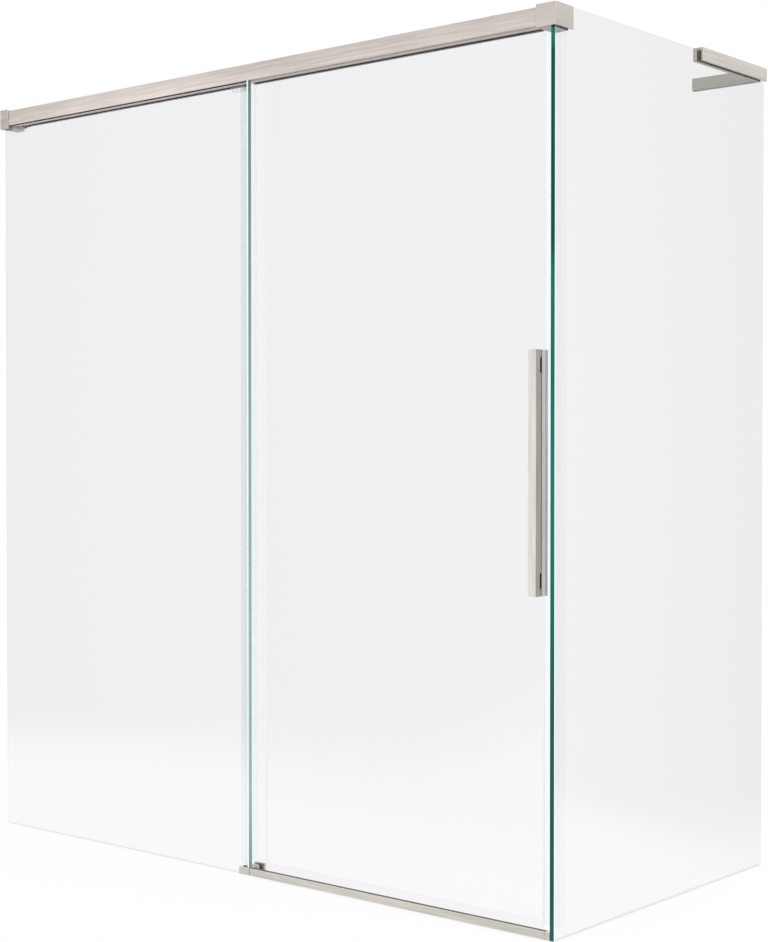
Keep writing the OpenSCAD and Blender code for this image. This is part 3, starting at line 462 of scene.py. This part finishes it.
end_cap_nickel = brushed_nickel("end_cap_nickel", "X", end_cap_tone)
shade_line(end_cap_nickel, "X", sill_high[0], *seam_shadow_line)
dress(["threshold_end_cap"], end_cap_nickel)
ease_edges(["threshold_end_cap"], machined_edge)


# Door guide: a small forked nickel block, screwed down beside the end block,
# that keeps the foot of the sliding door in line.
guide_tone = (0.68, 0.645, 0.60)

dress(["door_guide"], brushed_nickel("guide_nickel", "X", guide_tone))


# Stabiliser: a cast channel over the side glass's top edge, running to the
# wall, and a cast arm along the wall, held there by two pegs. The channel's
# front and underside are painted darker as shade. The arm turns away from the
# light, so its tone, underside and edges are painted darker as shade, and it
# is the darkest nickel piece.
channel_tone = (0.70, 0.645, 0.60)
arm_shade_tone = (0.48, 0.455, 0.425)

dress(["stabiliser_channel"], brushed_nickel("channel_nickel", "Y", channel_tone, front=0.85, under=0.55))
dress(["stabiliser_arm"], brushed_nickel("arm_nickel", "X", arm_shade_tone, under=0.45, painted_edge_level=0.80))
ease_edges(["stabiliser_channel", "stabiliser_arm"], cast_edge)


# Side glass: an 8 mm sheet of toughened float glass with polished edges, held
# in the clamp and the stabiliser. Its front edge is deep green, because light
# reaches it along the whole sheet. A painted glow lights the face beside that
# edge, and is kept low under the clamp as painted shade.
glass_index = 1.52
both_faces = 2.2
green_shift = (0.967, 1.024, 0.997)
green_border = 0.002
foot_zone = (0.05, 0.23)
glow_share = 0.95
glow_core = 0.6
painted_glow_light = (1.06, (0.89, 1.0, 0.99))
clamp_shadow = (0.022, 0.010)
glow_left_in_clamp = 0.15
broad_face = 0.9
polished_edge_roughness = 0.12
painted_edge_glow = (0.90, (0.90, 0.99, 0.97))
inner_tint = (0.982, 0.992, 0.990)
streak_scale = (420.0, 420.0, 0.9)
streak_range = (0.35, 0.65)


def glass_face(tree, spot, along, clear, ends, glow_width=0.0, clamped_at=None, band=0.0, softness=0.0,
               painted_foot_light=1.0):
    gap = 1.0
    for end in ends:
        gap = maths(tree, "MINIMUM", gap, maths(tree, "ABSOLUTE", maths(tree, "SUBTRACT", spot[along], end)))
    greener = tuple(min(1.0, c * shift) for c, shift in zip(clear, green_shift))
    colour = blend_colours(tree, ramp(tree, gap, band, band + green_border, 1.0, 0.0), clear, greener)
    # Painted light: the pane passes more light near its foot, lifting the shade of the floor seen behind it.
    if painted_foot_light != 1.0:
        foot = ramp(tree, spot["Z"], *foot_zone, painted_foot_light, 1.0)
        colour = blend_colours(tree, 1.0, colour, foot, "MULTIPLY")
    through = add_node(tree, "ShaderNodeBsdfTransparent", {"Color": colour}).outputs[0]
    mirror = add_node(tree, "ShaderNodeBsdfGlossy", {"Roughness": softness}).outputs[0]
    fresnel = add_node(tree, "ShaderNodeFresnel", {"IOR": glass_index}).outputs[0]
    pane = mix_shaders(tree, maths(tree, "MULTIPLY", fresnel, both_faces), through, mirror)
    # Painted glow: where a width is given, the face near its ends gives off light, cut back under a clamp as
    # painted shade.
    if glow_width:
        glow = ramp(tree, gap, glow_width * glow_core, glow_width, glow_share, 0.0)
        if clamped_at:
            low, high = [clamped_at - drop for drop in clamp_shadow]
            kept = ramp(tree, spot["Z"], low, high, 1.0, glow_left_in_clamp)
            glow = maths(tree, "MULTIPLY", glow, kept)
        pane = mix_shaders(tree, glow, pane, plain_light(tree, *painted_glow_light))
    return pane


def glass_edge(tree, place, spot, dark, light, tinted, fading=(), body=1.0, sheen=0.5, lit=0.0):
    streaks = noise(tree, stretch(tree, place, streak_scale), 1.0, 2.0)
    colour = blend_colours(tree, ramp(tree, streaks, *streak_range), dark, light)
    for low, high, at_low, at_high in fading:
        tone = ramp(tree, spot["Z"], low, high, at_low, at_high)
        colour = blend_colours(tree, 1.0, colour, tone, "MULTIPLY")
    polished = add_node(tree, "ShaderNodeBsdfPrincipled", {
        "Base Color": colour,
        "Roughness": polished_edge_roughness,
        "IOR": glass_index,
        "Specular IOR Level": sheen})
    edge = mix_shaders(tree, body, tinted, polished.outputs[0])
    if lit:
        edge = mix_shaders(tree, lit, edge, plain_light(tree, *painted_edge_glow))
    return edge


# Light that leaves a sheet from inside passes on, and isn't tinted twice.
def glass_sheet(name, across, along, face, edge):
    material, tree, surface = new_material(name)
    place = add_node(tree, "ShaderNodeTexCoord").outputs
    spot = axes(tree, place["Object"])
    leaving = add_node(tree, "ShaderNodeNewGeometry").outputs["Backfacing"]
    tinted = add_node(tree, "ShaderNodeBsdfTransparent", {"Color": inner_tint}).outputs[0]
    untinted = add_node(tree, "ShaderNodeBsdfTransparent").outputs[0]
    pane = mix_shaders(tree, leaving, glass_face(tree, spot, along, **face), untinted)
    rim = mix_shaders(tree, leaving, glass_edge(tree, place["Object"], spot, tinted=tinted, **edge), tinted)
    turned = maths(tree, "ABSOLUTE", axes(tree, place["Normal"])[across])
    broad = maths(tree, "GREATER_THAN", turned, broad_face)
    tree.links.new(mix_shaders(tree, broad, rim, pane), surface)
    return material


# Each row says from which height to which the edge's green is painted lighter
# or darker for light and shade, and its levels below and above: the foot, the
# long rise, the part by the room's dim skirt, the top, and the painted shadow
# under the clamp.
side_fading = (
    (0.02, 0.06, 1.35, 1.0),
    (0.08, 0.85, 0.55, 1.22),
    (1.06, 1.13, 1.0, 0.50),
    (1.42, 1.445, 1.0, 1.9),
    (clamp_low[2] - 0.006, clamp_low[2] - 0.001, 1.0, 0.18))
side_face = dict(clear=(0.996, 0.986, 1.0), ends=[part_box("side_glass")[0][1]], glow_width=0.0040,
                 clamped_at=clamp_low[2])
side_edge = dict(dark=(0.007, 0.095, 0.076), light=(0.014, 0.245, 0.18), fading=side_fading, sheen=0.15)
dress(["side_glass"], glass_sheet("side_glass_sheet", "X", "Y", side_face, side_edge))


# Fixed glass: an 8 mm toughened sheet, held in the rail's pocket and the end
# block. Its free edge looks greyish green against the door's glass; that green
# is painted lighter low down and darker high up, as light from below, and
# darker again at the very foot. A painted glow lights the face beside the edge,
# and a slightly greener band lies beside it, over the overlap seal. The pane is
# painted a little lighter at its foot.
fixed_face = dict(clear=(0.975, 0.966, 0.988), ends=[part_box("fixed_glass")[1][0]], glow_width=0.0050,
                  band=0.017, painted_foot_light=1.012)
fixed_edge = dict(dark=(0.23, 0.31, 0.295), light=(0.31, 0.41, 0.39),
                  fading=((0.3, 1.6, 1.5, 0.80), (0.0, 0.16, 0.62, 1.0)))
dress(["fixed_glass"], glass_sheet("fixed_glass_sheet", "Y", "X", fixed_face, fixed_edge))


# Door glass: a 6 mm toughened sheet that hangs from its bonded carrier. Its
# thin edges are pale and let light through, and a painted glow lights them. It
# mirrors the room softly, and the pane is painted a little lighter at its foot.
door_low, door_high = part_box("door_glass")

door_face = dict(clear=(0.958, 0.947, 0.968), ends=[door_low[0], door_high[0]], softness=0.15,
                 painted_foot_light=1.033)
door_edge = dict(dark=(0.45, 0.62, 0.56), light=(0.62, 0.78, 0.73), body=0.16, lit=0.55)
dress(["door_glass"], glass_sheet("door_glass_sheet", "Y", "X", door_face, door_edge))


# Handle: a square grip bar and a backing plate outside the door and a plate
# inside it, bolted together through the glass and brushed upright. Painted
# shade: the sides of all three are painted darker, and the backing plate's
# front, which lies in the shade of the grip, is painted darker still.
grip_tone = (0.97, 0.895, 0.84)
plate_tone = (0.90, 0.845, 0.80)

dress(["handle_grip"], brushed_nickel("grip_nickel", "Z", grip_tone, side=0.45))
dress(["handle_backing_plate"], brushed_nickel("backing_nickel", "Z", plate_tone, side=0.74, front=0.35))
dress(["handle_inner_plate"], brushed_nickel("inner_nickel", "Z", plate_tone, side=0.74))
ease_edges(["handle_grip", "handle_backing_plate", "handle_inner_plate"], machined_edge)


# Steel hardware: the track rod, hangers, bearings, axles and screws, turned
# or pressed from stainless steel and left satin.
steel_grain = 900.0
steel_roughness = (0.22, 0.34)


def satin_steel(name, dark, light):
    material, tree, surface = new_material(name)
    place = add_node(tree, "ShaderNodeTexCoord").outputs["Object"]
    grain = noise(tree, place, steel_grain, 3.0)
    metal = add_node(tree, "ShaderNodeBsdfPrincipled", {
        "Base Color": blend_colours(tree, grain, dark, light),
        "Metallic": 1.0,
        "Roughness": ramp(tree, grain, *noise_range, *steel_roughness)})
    tree.links.new(metal.outputs[0], surface)
    return material


dress(["track_rod", "left_hanger", "right_hanger", "hanger_screws", "roller_axles", "bearing_1", "bearing_2",
       "bearing_3", "bearing_4", "open_stop_nut", "open_stop_screw", "handle_bolts", "clamp_grub_screws",
       "rail_end_screws", "wall_cap_grub_screw", "end_block_grub_screws", "door_guide_screws",
       "stabiliser_joint_screws", "stabiliser_grub_screws"],
      satin_steel("satin_steel", (0.52, 0.52, 0.53), (0.68, 0.68, 0.69)))


# Door carrier: a steel profile bonded on the door's top edge, to which the
# hangers are screwed. It is painted nearly black as the shade inside the slot,
# so that it doesn't show there.
dress(["door_carrier"], satin_steel("slot_shade_steel", (0.012, 0.011, 0.010), (0.020, 0.018, 0.016)))


# Rubber gaskets, tape and buffers: dark rubber, pressed or stuck in where
# nickel meets glass. The drip seal, bonded on the threshold's top, is browner.
rubber_grain = 700.0
rubber_roughness = 0.62
moulded_relief = 0.15
roughness_drift = 0.06


def moulded(name, dark, light, roughness, grain_scale, sheen=0.5):
    material, tree, surface = new_material(name)
    place = add_node(tree, "ShaderNodeTexCoord").outputs["Object"]
    grain = noise(tree, place, grain_scale, 4.0)
    smoothest = roughness - roughness_drift
    roughest = roughness + roughness_drift
    body = add_node(tree, "ShaderNodeBsdfPrincipled", {
        "Base Color": blend_colours(tree, grain, dark, light),
        "Roughness": ramp(tree, grain, *noise_range, smoothest, roughest),
        "Specular IOR Level": sheen,
        "Normal": relief(tree, grain, moulded_relief)})
    tree.links.new(body.outputs[0], surface)
    return material


dress(["fixed_glass_gasket", "clamp_gasket", "end_block_liner", "threshold_tape", "closing_buffer"],
      moulded("dark_rubber", (0.020, 0.018, 0.016), (0.034, 0.032, 0.029), rubber_roughness, rubber_grain))
dress(["stabiliser_gasket"],
      moulded("stabiliser_rubber", (0.034, 0.027, 0.021), (0.048, 0.039, 0.031), rubber_roughness,
              rubber_grain, sheen=0.25))
dress(["threshold_drip_seal"],
      moulded("brown_rubber", (0.090, 0.080, 0.070), (0.125, 0.112, 0.100), rubber_roughness, rubber_grain))


# Nylon pieces: spacers and anti-lift pads in black nylon, grey liners in the
# door guide's jaws, and white nylon rollers and bushes.
nylon_grain = 900.0

dress(["handle_spacers", "anti_lift_pads"],
      moulded("black_nylon", (0.003, 0.0028, 0.0025), (0.005, 0.0045, 0.004), 0.60, nylon_grain, sheen=0.08))
dress(["door_guide_liners"],
      moulded("grey_nylon", (0.150, 0.140, 0.128), (0.190, 0.180, 0.165), 0.45, nylon_grain))
dress(["roller_1", "roller_2", "roller_3", "roller_4", "handle_bushes"],
      moulded("white_nylon", (0.70, 0.70, 0.67), (0.78, 0.78, 0.75), 0.38, nylon_grain))


# Strike seal, handle pads, shoe and stop's buffer: soft clear plastic, stuck or
# pressed on the glass. It is nearly invisible face on and shows mostly as a
# pale line where it curves. The shoe and the buffer are milkier.
seal_clear = (0.985, 0.99, 0.995)
seal_body = (0.93, 0.97, 0.98)
seal_cloud_scale = (300.0, 300.0, 6.0)
seal_roughness = 0.18
seal_index = 1.5
curve_blend = 0.35


def clear_plastic(name, haze, curl):
    material, tree, surface = new_material(name)
    place = add_node(tree, "ShaderNodeTexCoord").outputs["Object"]
    cloud = noise(tree, stretch(tree, place, seal_cloud_scale), 1.0, 2.0)
    curved = add_node(tree, "ShaderNodeLayerWeight", {"Blend": curve_blend}).outputs["Facing"]
    hazy = ramp(tree, cloud, *noise_range, *haze)
    body_share = maths(tree, "ADD", hazy, maths(tree, "MULTIPLY", curved, curl), clamp=True)
    through = add_node(tree, "ShaderNodeBsdfTransparent", {"Color": seal_clear}).outputs[0]
    gloss = {"Base Color": seal_body, "Roughness": seal_roughness, "IOR": seal_index}
    body = add_node(tree, "ShaderNodeBsdfPrincipled", gloss).outputs[0]
    tree.links.new(mix_shaders(tree, body_share, through, body), surface)
    return material


dress(["strike_seal", "handle_pads"], clear_plastic("strike_seal_plastic", (0.004, 0.015), 0.07))
dress(["door_shoe", "open_stop_buffer"], clear_plastic("milky_plastic", (0.07, 0.13), 0.10))


# Overlap seal: a clear strip on the fixed glass's back, by its free edge, with
# a lip that wipes the door. A painted glow, standing in for light picked up
# from that edge, lights it, least at the lip.
lit_share = 0.85
painted_seal_glow = (0.93, (0.91, 1.0, 0.99))
unlit_lip = 0.2
seal_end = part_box("overlap_seal")[1][0]
glass_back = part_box("fixed_glass")[1][1]
lit_from = (seal_end - 0.0035, seal_end - 0.0025)
lip_from = (glass_back + 0.0085, glass_back + 0.0100)

overlap_plastic = clear_plastic("overlap_seal_plastic", (0.005, 0.025), 0.15)
tree = overlap_plastic.node_tree
spot = axes(tree, add_node(tree, "ShaderNodeTexCoord").outputs["Object"])
by_edge = ramp(tree, spot["X"], *lit_from)
by_glass = ramp(tree, spot["Y"], *lip_from, 1.0, unlit_lip)
lit = maths(tree, "MULTIPLY", maths(tree, "MULTIPLY", by_edge, by_glass), lit_share)
surface = tree.nodes["out"].inputs["Surface"]
unlit = surface.links[0].from_socket
tree.links.new(mix_shaders(tree, lit, unlit, plain_light(tree, *painted_seal_glow)), surface)
dress(["overlap_seal"], overlap_plastic)
